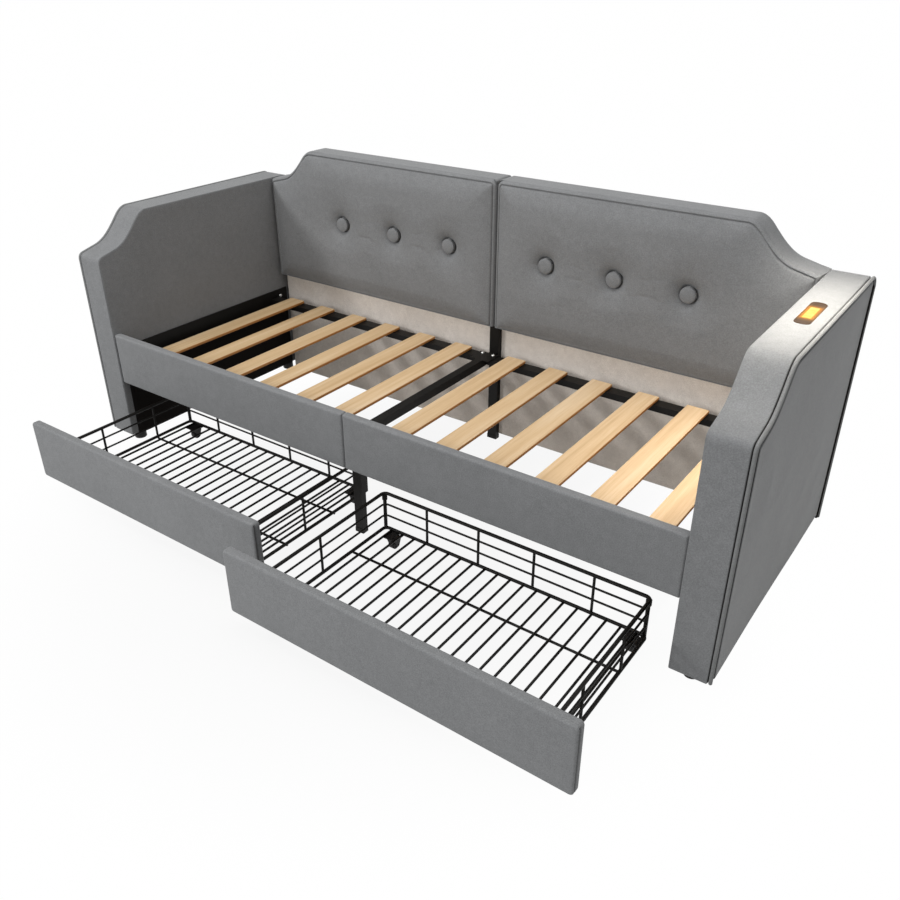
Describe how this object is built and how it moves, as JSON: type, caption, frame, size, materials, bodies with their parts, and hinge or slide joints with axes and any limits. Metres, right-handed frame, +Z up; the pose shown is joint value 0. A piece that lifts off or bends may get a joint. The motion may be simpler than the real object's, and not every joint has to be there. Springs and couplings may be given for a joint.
{
  "type": "storage daybed",
  "caption": "Upholstered daybed with notched arms, a tufted two-part back, a slatted steel frame, an arm lamp and two wire drawers on casters, both pulled out",
  "frame": {"origin": "on the floor, under the middle of the whole object with both drawers pulled out as pictured", "axes": "+X to the right seen from the front, +Y to the back, +Z up"},
  "size_m": [2.126, 1.2724, 0.872],
  "materials": {
    "upholstery": "matte brushed fabric, mid grey",
    "cream_lining": "thin cream lining cloth",
    "black_lining": "black non-woven lining",
    "black_steel": "satin black powder coat",
    "bright_bolts": "zinc-plated",
    "black_plastic": "matte black",
    "pine": "planed pale wood",
    "amber_lens": "translucent amber",
    "lit_panel": "lit warm yellow"
  },
  "bodies": {
    "daybed": {"arm_left": "upholstery", "arm_right": "upholstery", "back_pad_left": "upholstery", "back_pad_right": "upholstery", "button_left_1": "upholstery", "button_left_2": "upholstery", "button_left_3": "upholstery", "button_right_1": "upholstery", "button_right_2": "upholstery", "button_right_3": "upholstery", "front_board_left": "upholstery", "front_board_right": "upholstery", "end_rail_left": "black_steel", "end_rail_right": "black_steel", "rear_rail_left": "black_steel", "rear_rail_right": "black_steel", "front_rail_left": "black_steel", "front_rail_right": "black_steel", "cross_tube": "black_steel", "front_support_leg": "black_steel", "rear_support_post": "black_steel", "end_rail_bolt_left": "bright_bolts", "end_rail_bolt_right": "bright_bolts", "cross_tube_bolt_left": "bright_bolts", "cross_tube_bolt_right": "bright_bolts", "foot_left_front": "black_plastic", "foot_left_rear": "black_plastic", "foot_right_front": "black_plastic", "foot_right_rear": "black_plastic", "slat_01": "pine", "slat_02": "pine", "slat_03": "pine", "slat_04": "pine", "slat_05": "pine", "slat_06": "pine", "slat_07": "pine", "slat_08": "pine", "slat_09": "pine", "slat_10": "pine", "slat_11": "pine", "slat_12": "pine", "back_board_left": "cream_lining", "arm_lining_left": "black_lining", "back_board_right": "cream_lining", "arm_lining_right": "black_lining", "lamp_cover": "amber_lens", "lamp_light": "lit_panel"},
    "drawer_left": {"drawer_front_left": "upholstery", "drawer_basket_left": "black_steel"},
    "wheel_left_front_inner": {"wheel_left_front_inner": "black_plastic"},
    "wheel_left_front_outer": {"wheel_left_front_outer": "black_plastic"},
    "wheel_left_rear_inner": {"wheel_left_rear_inner": "black_plastic"},
    "wheel_left_rear_outer": {"wheel_left_rear_outer": "black_plastic"},
    "drawer_right": {"drawer_front_right": "upholstery", "drawer_basket_right": "black_steel"},
    "wheel_right_front_inner": {"wheel_right_front_inner": "black_plastic"},
    "wheel_right_front_outer": {"wheel_right_front_outer": "black_plastic"},
    "wheel_right_rear_inner": {"wheel_right_rear_inner": "black_plastic"},
    "wheel_right_rear_outer": {"wheel_right_rear_outer": "black_plastic"}
  },
  "joints": [
    {"name": "left_drawer_slide", "type": "slide", "parent": "daybed", "child": "drawer_left", "axis": [0, -1, 0], "range_m": [-0.333, 0.187]},
    {"name": "wheel_left_front_inner_spin", "type": "hinge", "parent": "drawer_left", "child": "wheel_left_front_inner", "pos_m": [-0.1105, -0.4747, 0.015], "axis": [1, 0, 0], "continuous": true},
    {"name": "wheel_left_front_outer_spin", "type": "hinge", "parent": "drawer_left", "child": "wheel_left_front_outer", "pos_m": [-0.8365, -0.4747, 0.015], "axis": [1, 0, 0], "continuous": true},
    {"name": "wheel_left_rear_inner_spin", "type": "hinge", "parent": "drawer_left", "child": "wheel_left_rear_inner", "pos_m": [-0.1105, -0.0317, 0.015], "axis": [1, 0, 0], "continuous": true},
    {"name": "wheel_left_rear_outer_spin", "type": "hinge", "parent": "drawer_left", "child": "wheel_left_rear_outer", "pos_m": [-0.8365, -0.0317, 0.015], "axis": [1, 0, 0], "continuous": true},
    {"name": "right_drawer_slide", "type": "slide", "parent": "daybed", "child": "drawer_right", "axis": [0, -1, 0], "range_m": [-0.446, 0.074]},
    {"name": "wheel_right_front_inner_spin", "type": "hinge", "parent": "drawer_right", "child": "wheel_right_front_inner", "pos_m": [0.1265, -0.5877, 0.015], "axis": [1, 0, 0], "continuous": true},
    {"name": "wheel_right_front_outer_spin", "type": "hinge", "parent": "drawer_right", "child": "wheel_right_front_outer", "pos_m": [0.8525, -0.5877, 0.015], "axis": [1, 0, 0], "continuous": true},
    {"name": "wheel_right_rear_inner_spin", "type": "hinge", "parent": "drawer_right", "child": "wheel_right_rear_inner", "pos_m": [0.1265, -0.1447, 0.015], "axis": [1, 0, 0], "continuous": true},
    {"name": "wheel_right_rear_outer_spin", "type": "hinge", "parent": "drawer_right", "child": "wheel_right_rear_outer", "pos_m": [0.8525, -0.1447, 0.015], "axis": [1, 0, 0], "continuous": true}
  ],
  "couplings": [
    {"joint": "wheel_left_front_inner_spin", "follows": "left_drawer_slide", "rad_per_m": 66.667},
    {"joint": "wheel_left_front_outer_spin", "follows": "left_drawer_slide", "rad_per_m": 66.667},
    {"joint": "wheel_left_rear_inner_spin", "follows": "left_drawer_slide", "rad_per_m": 66.667},
    {"joint": "wheel_left_rear_outer_spin", "follows": "left_drawer_slide", "rad_per_m": 66.667},
    {"joint": "wheel_right_front_inner_spin", "follows": "right_drawer_slide", "rad_per_m": 66.667},
    {"joint": "wheel_right_front_outer_spin", "follows": "right_drawer_slide", "rad_per_m": 66.667},
    {"joint": "wheel_right_rear_inner_spin", "follows": "right_drawer_slide", "rad_per_m": 66.667},
    {"joint": "wheel_right_rear_outer_spin", "follows": "right_drawer_slide", "rad_per_m": 66.667}
  ]
}
